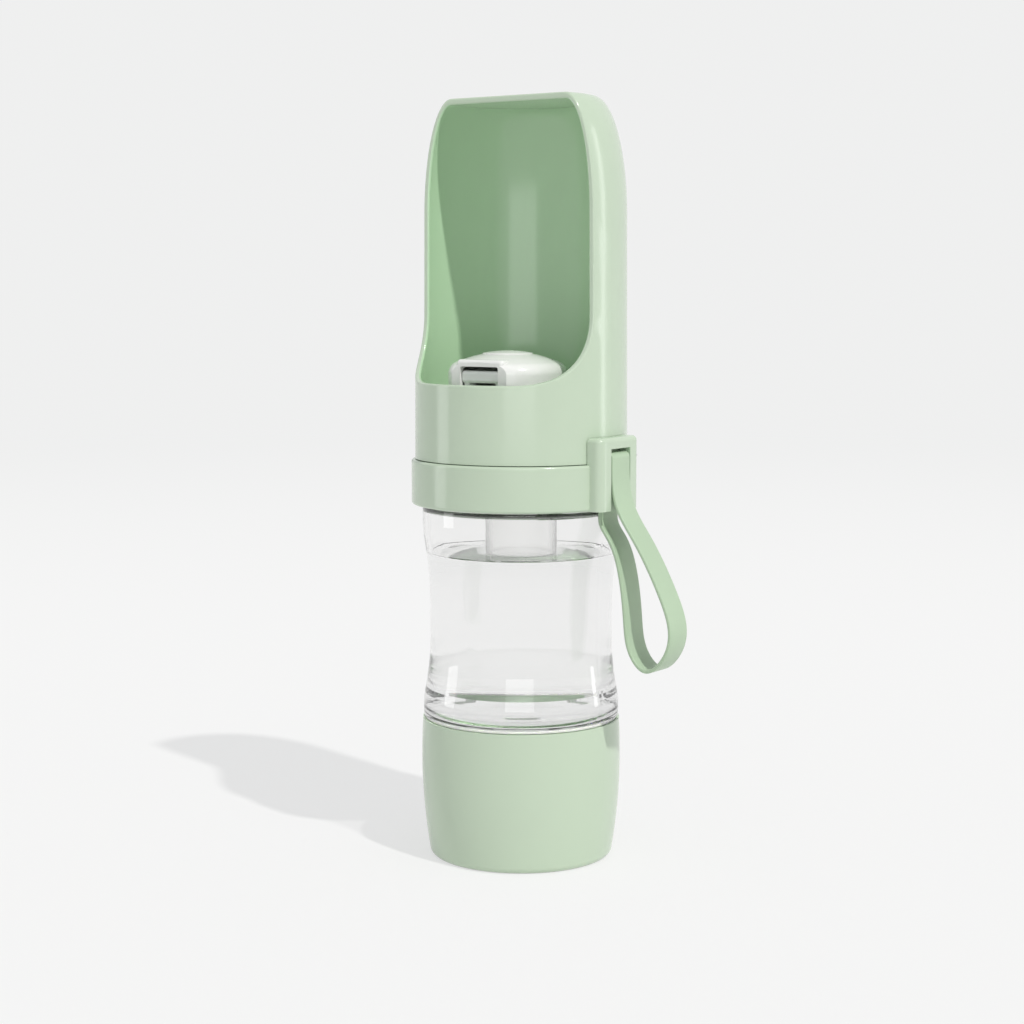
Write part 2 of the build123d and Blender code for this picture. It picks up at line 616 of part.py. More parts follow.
with BuildPart() as valve_cap:
    # squared brow over the outlet
    with BuildSketch(Plane.XY.offset(seal_top)) as snout_plan:
        with Locations((0, (snout_face - dome_offset) / 2)):
            Rectangle(snout_width, snout_reach)
        fillet(snout_plan.vertices().group_by(Axis.Y)[0], dome_wall)
    extrude(amount=snout_height)
    snout_rear = valve_cap.part.edges().sort_by(Axis.Y)[-1].center().Y
    snout_edges = [e for e in valve_cap.part.edges()
                   if abs(e.center().Z - snout_top) < 0.01 and e.center().Y < snout_rear - 0.01]
    fillet(snout_edges, snout_rounding)
    # the round dome, cut flat in front
    with BuildSketch(dome_plane) as dome_profile:
        with BuildLine():
            crown_arc(dome_radius, crown_z)
        make_face()
        fillet(crown_corner(dome_profile, dome_radius), dome_rounding)
    revolve(axis=dome_axis)
    split(bisect_by=Plane.XZ.offset(-snout_face), keep=Keep.BOTTOM)
    # hollow inside, with a thicker ring that carries the disc
    add(dome_inside.part, mode=Mode.SUBTRACT)
    with BuildSketch(Plane.XY.offset(disc_seat)):
        with Locations((0, -dome_offset)):
            Circle(disc_radius + fit_gap + dome_wall)
    extrude(amount=-dome_wall)
    with BuildSketch(Plane.XY.offset(disc_seat)):
        with Locations((0, -dome_offset)):
            Circle(disc_radius + fit_gap)
    extrude(amount=dome_wall + disc_edge, mode=Mode.SUBTRACT)
    # ears for the key's pin and bosses for the screws
    with BuildSketch(Plane.XY.offset(seal_top)) as ribs:
        with Locations((ear_inside + ear_width / 2, pin_y), (-ear_inside - ear_width / 2, pin_y)):
            Rectangle(ear_width, ear_length)
    extrude(amount=pin_level - seal_top + ear_rise)
    with BuildSketch(Plane.XY.offset(trough_z)):
        with Locations(*screw_spots):
            Circle(screw_boss_radius)
    extrude(amount=boss_height)
    with BuildSketch(Plane.XY.offset(trough_z)):
        with Locations(*screw_spots):
            Circle(screw_radius)
    extrude(amount=boss_height, mode=Mode.SUBTRACT)
    with Locations(Plane(origin=(ear_inside + ear_width, pin_y, pin_level), z_dir=(1, 0, 0))):
        Hole(key_pin_radius, depth=2 * (ear_inside + ear_width))
    # outlet window
    with BuildSketch(Plane.XZ.offset(-snout_face + dome_wall)) as window:
        with Locations((0, (window_z + window_top) / 2)):
            Rectangle(window_width, window_height)
        fillet(window.vertices().group_by(Axis.Y)[-1], window_rounding)
    extrude(amount=-window_depth - dome_wall, mode=Mode.SUBTRACT)
    with BuildSketch(Plane.XY.offset(disc_seat)):
        with Locations((0, -dome_offset)):
            Circle(disc_spigot_radius + fit_gap)
    extrude(amount=-2 * dome_wall, mode=Mode.SUBTRACT)
valve_cap.part.label = "valve_cap"
export_step(valve_cap.part, "parts/valve_cap.step")

with BuildPart() as cap_disc:
    # its top goes on with the dome's crown
    with BuildSketch(dome_plane) as disc_section:
        with BuildLine():
            disc_top = disc_seat + disc_edge
            Polyline((0, disc_top + disc_fall), (0, disc_seat), (disc_radius, disc_seat), (disc_radius, disc_top))
            TangentArc((0, disc_top + disc_fall), (disc_radius, disc_top), tangent=(1, 0))
        make_face()
        fillet([v for v in disc_section.vertices() if v.X > dome_wall and v.Y > disc_seat + disc_rounding],
               disc_rounding)
    revolve(axis=dome_axis)
    with BuildSketch(Plane.XY.offset(disc_seat)):
        with Locations((0, -dome_offset)):
            Circle(disc_spigot_radius)
            Circle(disc_spigot_radius - dome_wall, mode=Mode.SUBTRACT)
    extrude(amount=-disc_spigot_length)
cap_disc.part.label = "cap_disc"
export_step(cap_disc.part, "parts/cap_disc.step")

with BuildPart() as dome_seal:
    with BuildSketch(Plane.XY.offset(trough_z)) as dome_seal_plan:
        with Locations((0, -dome_offset)):
            Circle(dome_radius)
            Circle(inner_radius + fit_gap, mode=Mode.SUBTRACT)
        with Locations(*screw_spots):
            Circle(screw_boss_radius + fit_gap, mode=Mode.SUBTRACT)
    extrude(amount=dome_seal_thickness)
dome_seal.part.label = "dome_seal"
export_step(dome_seal.part, "parts/dome_seal.step")

# ===================================== dispensing key ========================================
key_width = window_width - 2 * side_gap
pad_top = window_top - key_pad_drop
pad_middle = (snout_face + key_pad_set + key_pad_depth / 2, pad_top - key_pad_height / 2)
nose_z = spring_cap_top + seat_gap + key_nose_radius
with BuildPart() as dispense_key:
    with BuildSketch(Plane.YZ) as pad:
        with Locations(pad_middle):
            Rectangle(key_pad_depth, key_pad_height)
        fillet(pad.vertices(), key_pad_rounding)
    extrude(amount=key_width / 2, both=True)
    # two side arms run back from the pad to the hub
    for side in (-1, 1):
        with BuildSketch(Plane.YZ.offset(side * key_width / 2)) as arm:
            with Locations(pad_middle):
                Circle(key_arm_tip)
            with Locations((pin_y, pin_level)):
                Circle(key_arm)
            make_hull()
        extrude(amount=-side * key_arm)
    with BuildSketch(Plane.YZ):
        with Locations((pin_y, pin_level)):
            Circle(key_arm)
    extrude(amount=key_width / 2, both=True)
    # lever back to the stem, with a nose over the spring cap
    with BuildSketch(Plane.YZ) as lever:
        with Locations((pin_y, pin_level + key_lever_rise)):
            Circle(key_lever_radius)
        with Locations((0, nose_z + key_nose_radius)):
            Circle(key_nose_radius)
        make_hull()
    extrude(amount=key_lever_width / 2, both=True)
    with BuildSketch(Plane.YZ):
        with Locations((0, nose_z)):
            Circle(key_nose_radius)
    extrude(amount=key_lever_width / 2, both=True)
    with Locations(Plane(origin=(key_width / 2, pin_y, pin_level), z_dir=(1, 0, 0))):
        Hole(key_pin_radius + pin_gap, depth=key_width)
dispense_key.part.label = "dispense_key"
export_step(dispense_key.part, "parts/dispense_key.step")

with BuildPart() as key_pin:
    with BuildSketch(Plane.YZ.offset(-ear_inside - ear_width)):
        with Locations((pin_y, pin_level)):
            Circle(key_pin_radius)
    extrude(amount=2 * (ear_inside + ear_width))
key_pin.part.label = "key_pin"
export_step(key_pin.part, "parts/key_pin.step")

# ===================================== screws ================================================
with BuildPart() as valve_screws:
    with BuildSketch(Plane.XY.offset(flange_under - screw_head_height)):
        with Locations(*screw_spots):
            Circle(screw_head_radius)
    extrude(amount=screw_head_height)
    with BuildSketch(Plane.XY.offset(flange_under)):
        with Locations(*screw_spots):
            Circle(screw_radius)
    extrude(amount=screw_length)
valve_screws.part.label = "valve_screws"
export_step(valve_screws.part, "parts/valve_screws.step")
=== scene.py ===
# %% [markdown]
# # A dog's travel bottle, dressed from its measured solids
#
# The solids of the bottle are already there, at their real size and place. This lesson gives them
# their plastics, their water and their light, and adds what is too fine for the solids: the screw
# threads, the coil of the spring, and the soft strap. Lengths are in metres, +Z is up, and the
# hood opens towards -Y.

# %% The measured frame
import math

import bmesh
import bpy
import numpy as np
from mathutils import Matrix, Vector


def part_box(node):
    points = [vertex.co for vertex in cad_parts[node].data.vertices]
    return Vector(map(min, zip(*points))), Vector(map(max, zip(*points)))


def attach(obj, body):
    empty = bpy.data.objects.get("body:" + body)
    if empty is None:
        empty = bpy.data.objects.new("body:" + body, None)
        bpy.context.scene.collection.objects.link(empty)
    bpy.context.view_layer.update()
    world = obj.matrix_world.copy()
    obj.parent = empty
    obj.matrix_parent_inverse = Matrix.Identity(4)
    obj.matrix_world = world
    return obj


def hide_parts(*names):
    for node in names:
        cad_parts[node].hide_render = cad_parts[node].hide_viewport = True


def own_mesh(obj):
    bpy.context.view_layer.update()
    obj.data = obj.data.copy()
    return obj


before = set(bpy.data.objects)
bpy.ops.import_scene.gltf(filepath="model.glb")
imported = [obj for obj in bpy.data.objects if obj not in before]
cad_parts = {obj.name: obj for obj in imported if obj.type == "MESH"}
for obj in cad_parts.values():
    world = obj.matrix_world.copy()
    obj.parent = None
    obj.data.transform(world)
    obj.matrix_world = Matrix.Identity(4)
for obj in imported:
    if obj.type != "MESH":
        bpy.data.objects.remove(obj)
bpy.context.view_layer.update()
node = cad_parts

# %% [markdown]
# ## Where the picture is taken from
#
# The picture was taken from a little above the middle of the bottle, 35 degrees round to the right
# of the hood's opening. A long lens keeps the upright lines nearly parallel. The camera is placed
# by numbers and not by eye: its distance, its height and its tilt were worked out from the rings
# of the bottle, whose roundness in the picture tells how far above or below the eye each one is.

# %% The camera
PICTURE = 1024                      # the picture is square
FOCAL_PIXELS = 2100.0
SENSOR = 36.0                       # millimetres
NEAREST, FARTHEST = 0.01, 50.0
CAMERA_TURN = math.radians(35.0)
CAMERA_TILT = 0.1076771495
CAMERA_REACH = 0.7608696            # level distance from the bottle's axis
CAMERA_HEIGHT = 0.2083059
SIDE_STEP = 0.0033333               # the bottle stands right of the picture's middle

lens = bpy.data.cameras.new("camera")
lens.sensor_width = SENSOR
lens.lens = FOCAL_PIXELS / PICTURE * SENSOR
lens.clip_start, lens.clip_end = NEAREST, FARTHEST
camera = bpy.data.objects.new("camera", lens)
bpy.context.scene.collection.objects.link(camera)
bpy.context.scene.camera = camera
to_camera = Vector((math.sin(CAMERA_TURN), -math.cos(CAMERA_TURN), 0.0))
to_right = Vector((math.cos(CAMERA_TURN), math.sin(CAMERA_TURN), 0.0))
eye_height = Vector((0.0, 0.0, CAMERA_HEIGHT))
camera.location = to_camera * CAMERA_REACH - to_right * SIDE_STEP + eye_height
camera.rotation_euler = (math.pi / 2 - CAMERA_TILT, 0.0, CAMERA_TURN)
print("camera at", [round(v, 3) for v in camera.location],
      "with a", round(lens.lens, 1), "mm lens")

# %% [markdown]
# ## Four small helpers
#
# Materials and Geometry Nodes are both trees of nodes, so the same few steps come back all through
# this lesson: declare a group's inputs and outputs, add a node, set its sockets, and link nodes. A
# helper for each keeps the cells short, and leaves in them only what differs from tree to tree.


# %% Helpers for node trees
def add_socket(tree, name, kind, way, value=None):
    """One named input or output of a node group."""
    socket = tree.interface.new_socket(name=name, in_out=way, socket_type=kind)
    if value is not None:
        socket.default_value = value


def put(tree, kind, **settings):
    """A node with some of its settings."""
    made = tree.nodes.new(kind)
    for key, value in settings.items():
        setattr(made, key, value)
    return made


def fix(holder, values):
    """Sets a node's input sockets, given by name or by number, to constants."""
    for entry, value in values.items():
        holder.inputs[entry].default_value = value


def wire(tree, *links):
    """Links, each given as a node, its output, the next node and that node's input."""
    for source, output, target, entry in links:
        tree.links.new(source.outputs[output], target.inputs[entry])


print("helpers:", [helper.__name__ for helper in (add_socket, put, fix, wire)])

# %% [markdown]
# ## A shader group that several plastics share
#
# Injection-moulded plastic is never quite even. The steel mould leaves a faint orange peel, the
# flow of the melt leaves slow changes of tone, and handling leaves spots that are a little duller.
# One shader group makes these three patterns from the place on the object. Its fourth output tells
# which faces look inward, to the bottle's axis. Each material takes from the group what it needs
# and adds its own colour, so all the plastics look like one family.

# %% The moulded surface group
moulded = bpy.data.node_groups.new("moulded_surface", "ShaderNodeTree")
for label, start in (("Peel Scale", 900.0), ("Flow Scale", 28.0), ("Speck Scale", 2600.0)):
    add_socket(moulded, label, "NodeSocketFloat", "INPUT", start)
for label in ("Peel", "Flow", "Handling", "Inward"):
    add_socket(moulded, label, "NodeSocketFloat", "OUTPUT")
inlet = put(moulded, "NodeGroupInput")
outlet = put(moulded, "NodeGroupOutput")
place = put(moulded, "ShaderNodeTexCoord")
peel = put(moulded, "ShaderNodeTexNoise", noise_dimensions="3D")
fix(peel, {"Detail": 2.0})
flow = put(moulded, "ShaderNodeTexNoise", noise_dimensions="3D")
fix(flow, {"Detail": 3.0, "Distortion": 0.6})
speck = put(moulded, "ShaderNodeTexNoise", noise_dimensions="3D")
fix(speck, {"Detail": 1.0})
speck_cut = put(moulded, "ShaderNodeMapRange")
fix(speck_cut, {"From Min": 0.45, "From Max": 0.75})
# Inward marks the faces that look towards the axis, where the plastics paint in bounce light
level_place = put(moulded, "ShaderNodeVectorMath", operation="MULTIPLY")
fix(level_place, {1: (1.0, 1.0, 0.0)})
outward = put(moulded, "ShaderNodeVectorMath", operation="NORMALIZE")
facing = put(moulded, "ShaderNodeVectorMath", operation="DOT_PRODUCT")
inward = put(moulded, "ShaderNodeMapRange")
fix(inward, {"From Min": 0.10, "From Max": -0.25})
wire(moulded,
     (place, "Object", level_place, 0),
     (level_place, "Vector", outward, 0),
     (outward, "Vector", facing, 0),
     (place, "Normal", facing, 1),
     (facing, "Value", inward, "Value"),
     (inward, "Result", outlet, "Inward"),
     (place, "Object", peel, "Vector"),
     (place, "Object", flow, "Vector"),
     (place, "Object", speck, "Vector"),
     (inlet, "Peel Scale", peel, "Scale"),
     (inlet, "Flow Scale", flow, "Scale"),
     (inlet, "Speck Scale", speck, "Scale"),
     (speck, "Fac", speck_cut, "Value"),
     (peel, "Fac", outlet, "Peel"),
     (flow, "Fac", outlet, "Flow"),
     (speck_cut, "Result", outlet, "Handling"))
print("shader group", moulded.name, "with outputs",
      [s.name for s in moulded.interface.items_tree if s.in_out == "OUTPUT"])

# %% [markdown]
# ## The moulded plastics and the rubber
#
# The green is a pale sage with a satin gloss, the dome is white, and the key in the outlet is a
# cool light grey. They differ only in colour, in gloss and in how strong the patterns are, so one
# function makes them all. The rubber has no clear reflections and a finer, stronger grain. Deep in
# the hood light goes from wall to wall and gets greener each time. The faces that look to the axis
# get a deeper green painted on, which is painted bounce light and helps that along.

# %% Materials from the moulded surface
PLASTIC_INDEX = 1.49
PEEL_STRENGTH = 0.4
DULLEST = 0.06                      # how much rougher the most handled spots are
SCATTER_REACH = 0.002               # depth to which light goes into soft silicone


def tone(colour, factor):
    """A lighter or darker tone of a colour."""
    return tuple(min(1.0, c * factor) for c in colour) + (1.0,)


def moulded_material(name, colour, gloss, peel_height, spread,
                     painted_bounce=None, peel_scale=900.0, sheen=0.0, soft=0.0):
    """A plastic or rubber whose tone, gloss and surface vary with the moulded surface group.

    The colour for the faces that look towards the bottle's axis, such as a hood's inside, is
    painted bounce light: a deeper green where light goes from wall to wall.
    """
    material = bpy.data.materials.new(name)
    material.use_nodes = True
    tree = material.node_tree
    surface = tree.nodes["Principled BSDF"]
    pattern = put(tree, "ShaderNodeGroup", node_tree=moulded)
    fix(pattern, {"Peel Scale": peel_scale})
    tint = put(tree, "ShaderNodeMix", data_type="RGBA")
    fix(tint, {"A": tone(colour, 1 - spread), "B": tone(colour, 1 + spread)})
    rough = put(tree, "ShaderNodeMapRange")
    fix(rough, {"To Min": gloss, "To Max": gloss + DULLEST})
    # painted bounce light: the faces that look to the axis take the deeper inner colour
    painted_bounce_mix = put(tree, "ShaderNodeMix", data_type="RGBA")
    fix(painted_bounce_mix, {"B": (*(painted_bounce or colour), 1.0)})
    bump = put(tree, "ShaderNodeBump")
    fix(bump, {"Distance": peel_height, "Strength": PEEL_STRENGTH})
    wire(tree,
         (pattern, "Flow", tint, "Factor"),
         (pattern, "Inward", painted_bounce_mix, "Factor"),
         (tint, "Result", painted_bounce_mix, "A"),
         (painted_bounce_mix, "Result", surface, "Base Color"),
         (pattern, "Handling", rough, "Value"),
         (rough, "Result", surface, "Roughness"),
         (pattern, "Peel", bump, "Height"),
         (bump, "Normal", surface, "Normal"))
    fix(surface, {"IOR": PLASTIC_INDEX, "Sheen Weight": sheen, "Subsurface Weight": soft,
                  "Subsurface Radius": (0.8, 1.0, 0.6), "Subsurface Scale": SCATTER_REACH})
    return material


SAGE = (0.515, 0.620, 0.482)
# painted bounce light: a deeper green for the hood's inside, standing in for light between its
# walls
PAINTED_BOUNCE_SAGE = (0.500, 0.690, 0.470)
WHITE = (0.84, 0.84, 0.825)
KEY_GREY = (0.90, 0.91, 0.90)
STRAP_GREEN = (0.414, 0.543, 0.378)
SILICONE = (0.74, 0.75, 0.72)
green_plastic = moulded_material("sage_green_plastic", SAGE, gloss=0.14, peel_height=0.000012,
                                 spread=0.02, painted_bounce=PAINTED_BOUNCE_SAGE)
white_plastic = moulded_material("white_plastic", WHITE, gloss=0.12, peel_height=0.00001,
                                 spread=0.012)
grey_plastic = moulded_material("key_grey_plastic", KEY_GREY, gloss=0.16, peel_height=0.00001,
                                spread=0.012)
green_rubber = moulded_material("sage_green_rubber", STRAP_GREEN, gloss=0.40, peel_height=0.00003,
                                spread=0.03, peel_scale=2200.0, sheen=0.12)
pale_rubber = moulded_material("pale_silicone", SILICONE, gloss=0.38, peel_height=0.00004,
                               spread=0.02, soft=0.3)
print("moulded materials:",
      [m.name for m in (green_plastic, white_plastic, grey_plastic, green_rubber, pale_rubber)])

# %% [markdown]
# ## Clear plastic and water
#
# Clear plastic and water bend light, so both use transmission with their real index of refraction,
# 1.54 and 1.33. The valve's barrel is frosted. Its index is set lower than a real plastic's,
# because deep inside the bottle it would turn dark otherwise. Light that only passes through on
# its way to something else is a problem, because a renderer finds very few such paths. A mix with
# a transparent shader for shadow rays lets the lamps' light through, so the bottle doesn't throw
# the shadow of a solid block. The same mix lets a ray that has crossed many walls go straight on.

# %% Clear materials
DEEPEST = 7                         # crossings after which a ray goes straight on
CLEAR_SHINE = 0.25                  # half of the usual specular level
RIPPLE_SCALE, RIPPLE_STRENGTH = 60.0, 0.3


def clear_material(name, tint, index, ripple, share, frost=0.0):
    """Glass-like material with a faint ripple, which lets a share of the lamps' light through."""
    material = bpy.data.materials.new(name)
    material.use_nodes = True
    tree = material.node_tree
    surface = tree.nodes["Principled BSDF"]
    fix(surface, {"Base Color": (*tint, 1.0), "Roughness": frost, "IOR": index,
                  "Transmission Weight": 1.0, "Specular IOR Level": CLEAR_SHINE})
    pattern = put(tree, "ShaderNodeGroup", node_tree=moulded)
    fix(pattern, {"Peel Scale": RIPPLE_SCALE})
    bump = put(tree, "ShaderNodeBump")
    fix(bump, {"Distance": ripple, "Strength": RIPPLE_STRENGTH})
    rays = put(tree, "ShaderNodeLightPath")
    lit = put(tree, "ShaderNodeMath", operation="MULTIPLY")
    fix(lit, {1: share})
    crossings = put(tree, "ShaderNodeMath", operation="GREATER_THAN")
    fix(crossings, {1: DEEPEST})
    straight = put(tree, "ShaderNodeMath", operation="MAXIMUM")
    clear = put(tree, "ShaderNodeBsdfTransparent")
    either = put(tree, "ShaderNodeMixShader")
    wire(tree,
         (pattern, "Peel", bump, "Height"),
         (bump, "Normal", surface, "Normal"),
         (rays, "Is Shadow Ray", lit, 0),
         (lit, "Value", straight, 0),
         (rays, "Transmission Depth", crossings, 0),
         (crossings, "Value", straight, 1),
         (straight, "Value", either, "Fac"),
         (surface, "BSDF", either, 1),
         (clear, "BSDF", either, 2),
         (either, "Shader", tree.nodes["Material Output"], "Surface"))
    return material


clear_plastic = clear_material("clear_plastic", (0.968, 0.968, 0.966), index=1.54,
                               ripple=0.00002, share=0.86)
water_material = clear_material("water", (0.985, 0.985, 0.985), index=1.33, ripple=0.0, share=0.95)
frosted_plastic = clear_material("frosted_plastic", (0.99, 0.99, 0.985), index=1.30,
                                 ripple=0.0, share=0.9, frost=0.22)
print("clear materials:", [m.name for m in (clear_plastic, water_material, frosted_plastic)])

# %% [markdown]
# ## Steel for pins, screws and spring
#
# Drawn wire and turned pins carry fine scratches along their length. A noise that is stretched
# along Z stands for them. It drives the roughness and a slight change of tone.

# %% Steel
DARK_STEEL, BRIGHT_STEEL = (0.46, 0.46, 0.47, 1.0), (0.72, 0.72, 0.73, 1.0)
SCRATCH_STRETCH = 0.06
steel = bpy.data.materials.new("drawn_steel")
steel.use_nodes = True
tree = steel.node_tree
surface = tree.nodes["Principled BSDF"]
fix(surface, {"Metallic": 1.0})
place = put(tree, "ShaderNodeTexCoord")
stretch = put(tree, "ShaderNodeMapping")
fix(stretch, {"Scale": (1.0, 1.0, SCRATCH_STRETCH)})
scratch = put(tree, "ShaderNodeTexNoise")
fix(scratch, {"Scale": 4000.0, "Detail": 4.0})
shade = put(tree, "ShaderNodeMix", data_type="RGBA")
fix(shade, {"A": DARK_STEEL, "B": BRIGHT_STEEL})
dull = put(tree, "ShaderNodeMapRange")
fix(dull, {"To Min": 0.18, "To Max": 0.42})
wire(tree,
     (place, "Object", stretch, "Vector"),
     (stretch, "Vector", scratch, "Vector"),
     (scratch, "Fac", shade, "Factor"),
     (shade, "Result", surface, "Base Color"),
     (scratch, "Fac", dull, "Value"),
     (dull, "Result", surface, "Roughness"))
print("steel made:", steel.name)

# %% [markdown]
# ## Each solid gets its finish
#
# The rigid solids already have the right shape, so they stay, and only their material changes.
# Their edges are smooth-shaded by the normals they came with.

# %% Finishes by name
finish_of = {
    "hood": green_plastic, "collar_ring": green_plastic, "food_cup": green_plastic,
    "bottle": clear_plastic,
    "valve_cap": white_plastic, "cap_disc": white_plastic, "valve_body": frosted_plastic,
    "valve_stem": white_plastic, "spring_cap": white_plastic, "dispense_key": grey_plastic,
    "cup_gasket": pale_rubber, "hood_gasket": pale_rubber, "dome_seal": pale_rubber,
    "flange_seal": pale_rubber, "valve_plug": pale_rubber,
    "strap_pin": steel, "key_pin": steel, "valve_screws": steel,
}
for name, material in finish_of.items():
    slots = node[name].material_slots
    for held in slots:
        held.material = material
    if not slots:
        node[name].data.materials.append(material)
print("finished solids:", len(finish_of))

# %% [markdown]
# ## One tree for everything that winds
#
# A screw thread and a coil spring are the same idea: a profile carried along a spiral. Geometry
# Nodes say it in a few nodes, with the radius, the rise and the number of turns as inputs. The
# thread's ridge fades out at both ends, as a moulded one does, and the spring's doesn't.

# %% The winding tree
THINNEST = 0.02                     # share of the thickness that a faded end keeps
winding = bpy.data.node_groups.new("winding", "GeometryNodeTree")
add_socket(winding, "Geometry", "NodeSocketGeometry", "INPUT")
for label, start in (("Radius", 0.03), ("Turns", 1.0), ("Rise", 0.008), ("Foot", 0.0),
                     ("Ridge", 0.0006), ("Fade", 8.0)):
    add_socket(winding, label, "NodeSocketFloat", "INPUT", start)
add_socket(winding, "Steps", "NodeSocketInt", "INPUT", 96)
add_socket(winding, "Finish", "NodeSocketMaterial", "INPUT")
add_socket(winding, "Geometry", "NodeSocketGeometry", "OUTPUT")
inlet = put(winding, "NodeGroupInput")
outlet = put(winding, "NodeGroupOutput")
spiral = put(winding, "GeometryNodeCurveSpiral")
lift = put(winding, "ShaderNodeCombineXYZ")
moved = put(winding, "GeometryNodeTransform")
along = put(winding, "GeometryNodeSplineParameter")
rest_of_way = put(winding, "ShaderNodeMath", operation="SUBTRACT")
fix(rest_of_way, {0: 1.0})
nearer = put(winding, "ShaderNodeMath", operation="MINIMUM")
faded = put(winding, "ShaderNodeMath", operation="MULTIPLY_ADD")
fix(faded, {2: THINNEST})
full = put(winding, "ShaderNodeMath", operation="MINIMUM")
fix(full, {1: 1.0})
section = put(winding, "GeometryNodeCurvePrimitiveCircle")
fix(section, {"Resolution": 12})
fade_radius = put(winding, "GeometryNodeSetCurveRadius")
sweep = put(winding, "GeometryNodeCurveToMesh")
fix(sweep, {"Fill Caps": True})
real = put(winding, "GeometryNodeRealizeInstances")
painted = put(winding, "GeometryNodeSetMaterial")
wire(winding,
     (inlet, "Radius", spiral, "Start Radius"),
     (inlet, "Radius", spiral, "End Radius"),
     (inlet, "Turns", spiral, "Rotations"),
     (inlet, "Rise", spiral, "Height"),
     (inlet, "Steps", spiral, "Resolution"),
     (inlet, "Foot", lift, "Z"),
     (spiral, "Curve", moved, "Geometry"),
     (lift, "Vector", moved, "Translation"),
     (along, "Factor", rest_of_way, 1),
     (along, "Factor", nearer, 0),
     (rest_of_way, "Value", nearer, 1),
     (nearer, "Value", faded, 0),
     (inlet, "Fade", faded, 1),
     (faded, "Value", full, 0),
     (moved, "Geometry", fade_radius, "Curve"),
     (full, "Value", fade_radius, "Radius"),
     (fade_radius, "Curve", sweep, "Curve"),
     (inlet, "Ridge", section, "Radius"),
     (section, "Curve", sweep, "Profile Curve"),
     (full, "Value", sweep, "Scale"),
     (sweep, "Mesh", real, "Geometry"),
     (real, "Geometry", painted, "Geometry"),
     (inlet, "Finish", painted, "Material"),
     (painted, "Geometry", outlet, "Geometry"))
print("winding tree inputs:",
      [s.name for s in winding.interface.items_tree if s.in_out == "INPUT"])


# %% From a tree to a plain mesh
def input_key(group, label):
    """The identifier that a modifier uses for one of the tree's inputs."""
    return next(s.identifier for s in group.interface.items_tree
                if s.name == label and s.in_out == "INPUT")


def grown(name, group, base, **values):
    """The mesh that a tree makes with these inputs, as an object of its own with no modifier."""
    carrier = bpy.data.objects.new(name + "_carrier", base)
    bpy.context.scene.collection.objects.link(carrier)
    modifier = carrier.modifiers.new("tree", "NODES")
    modifier.node_group = group
    for label, value in values.items():
        modifier[input_key(group, label)] = value
    bpy.context.view_layer.update()
    graph = bpy.context.evaluated_depsgraph_get()
    mesh = bpy.data.meshes.new_from_object(carrier.evaluated_get(graph), depsgraph=graph)
    mesh.name = name
    bpy.data.objects.remove(carrier)
    made = bpy.data.objects.new(name, mesh)
    bpy.context.scene.collection.objects.link(made)
    for face in mesh.polygons:
        face.use_smooth = True
    lowest = min(v.co.z for v in mesh.vertices)
    print(name, "has", len(mesh.polygons), "faces from z", round(lowest, 4))
    return made


# %% [markdown]
# ## Threads
#
# The solids leave a plain gap of 1.3 mm where the two screw joints are. Each gap now gets a ridge
# on both of its sides. A ridge is a round bar whose middle lies on its wall, so half of it stands
# out. Two such halves together are thinner than the gap, so the ridges pass each other however far
# the joint is turned. The threads are right-handed: the upper piece climbs when it turns to the
# left, by as much in one turn as its joint says.

# %% The four ridges
SPIGOT_RADIUS, CUP_BORE = 0.0327, 0.0342        # the two walls of the cup's screw
NECK_RADIUS, SOCKET_BORE = 0.0318, 0.0331       # the two walls of the hood's screw
CUP_SCREW = {"Turns": 1.0, "Rise": 0.006}
HOOD_SCREW = {"Turns": 1.5, "Rise": 0.012}
OUTER_RIDGE, INNER_RIDGE = 0.00055, 0.00050     # on the bottle, and inside the cup and the hood
bottle_low, bottle_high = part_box("bottle")
CUP_SCREW_FOOT = bottle_low.z + 0.0015          # just above the spigot's lower edge
NECK_FOOT = bottle_high.z - 0.0196              # below the bottle's mouth
SOCKET_FOOT = NECK_FOOT + 0.004                 # half a turn higher
RIDGE_STEPS = 160
RIDGE_FADE = 8.0                                # a ridge is full after an eighth of its way

no_base = bpy.data.meshes.new("empty_base")
ridges = {
    "spigot_thread": ("bottle", clear_plastic, SPIGOT_RADIUS, CUP_SCREW_FOOT, CUP_SCREW),
    "cup_thread": ("cup", green_plastic, CUP_BORE, CUP_SCREW_FOOT, CUP_SCREW),
    "neck_thread": ("bottle", clear_plastic, NECK_RADIUS, NECK_FOOT, HOOD_SCREW),
    "socket_thread": ("hood", green_plastic, SOCKET_BORE, SOCKET_FOOT, HOOD_SCREW),
}
look_of_side = {clear_plastic: ("clear_plastic", OUTER_RIDGE),
                green_plastic: ("green_plastic", INNER_RIDGE)}
for name, (body, finish, radius, foot, screw) in ridges.items():
    slot, half_depth = look_of_side[finish]
    ridge = grown(name, winding, no_base, Radius=radius, Foot=foot, Ridge=half_depth,
                  Steps=RIDGE_STEPS, Fade=RIDGE_FADE, Finish=finish, **screw)
    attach(ridge, body)

# %% [markdown]
# ## The valve's spring
#
# A coil of steel wire pushes the spring cap up, which keeps the valve shut. Its solid is a rigid
# coil, which can't get shorter when the stem goes down. The coil is wound again here, at the
# place of its solid, and the solid is hidden. The winding tree makes it too.
# Its fade is so steep that the wire has its full thickness from end to end.

# %% The coil
WIRE = 0.00035                      # half the wire's thickness
COIL_RADIUS = 0.0031
COIL_TURNS = 5.0
COIL_STEPS = 60                     # points in one turn
NO_FADE = 400.0

spring_low, spring_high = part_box("valve_spring")
spring = grown("coil_spring", winding, no_base, Radius=COIL_RADIUS, Turns=COIL_TURNS,
               Steps=COIL_STEPS, Ridge=WIRE, Rise=spring_high.z - spring_low.z - 2 * WIRE,
               Foot=spring_low.z + WIRE, Fade=NO_FADE, Finish=steel)
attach(spring, "hood")
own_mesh(spring)
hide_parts("valve_spring")

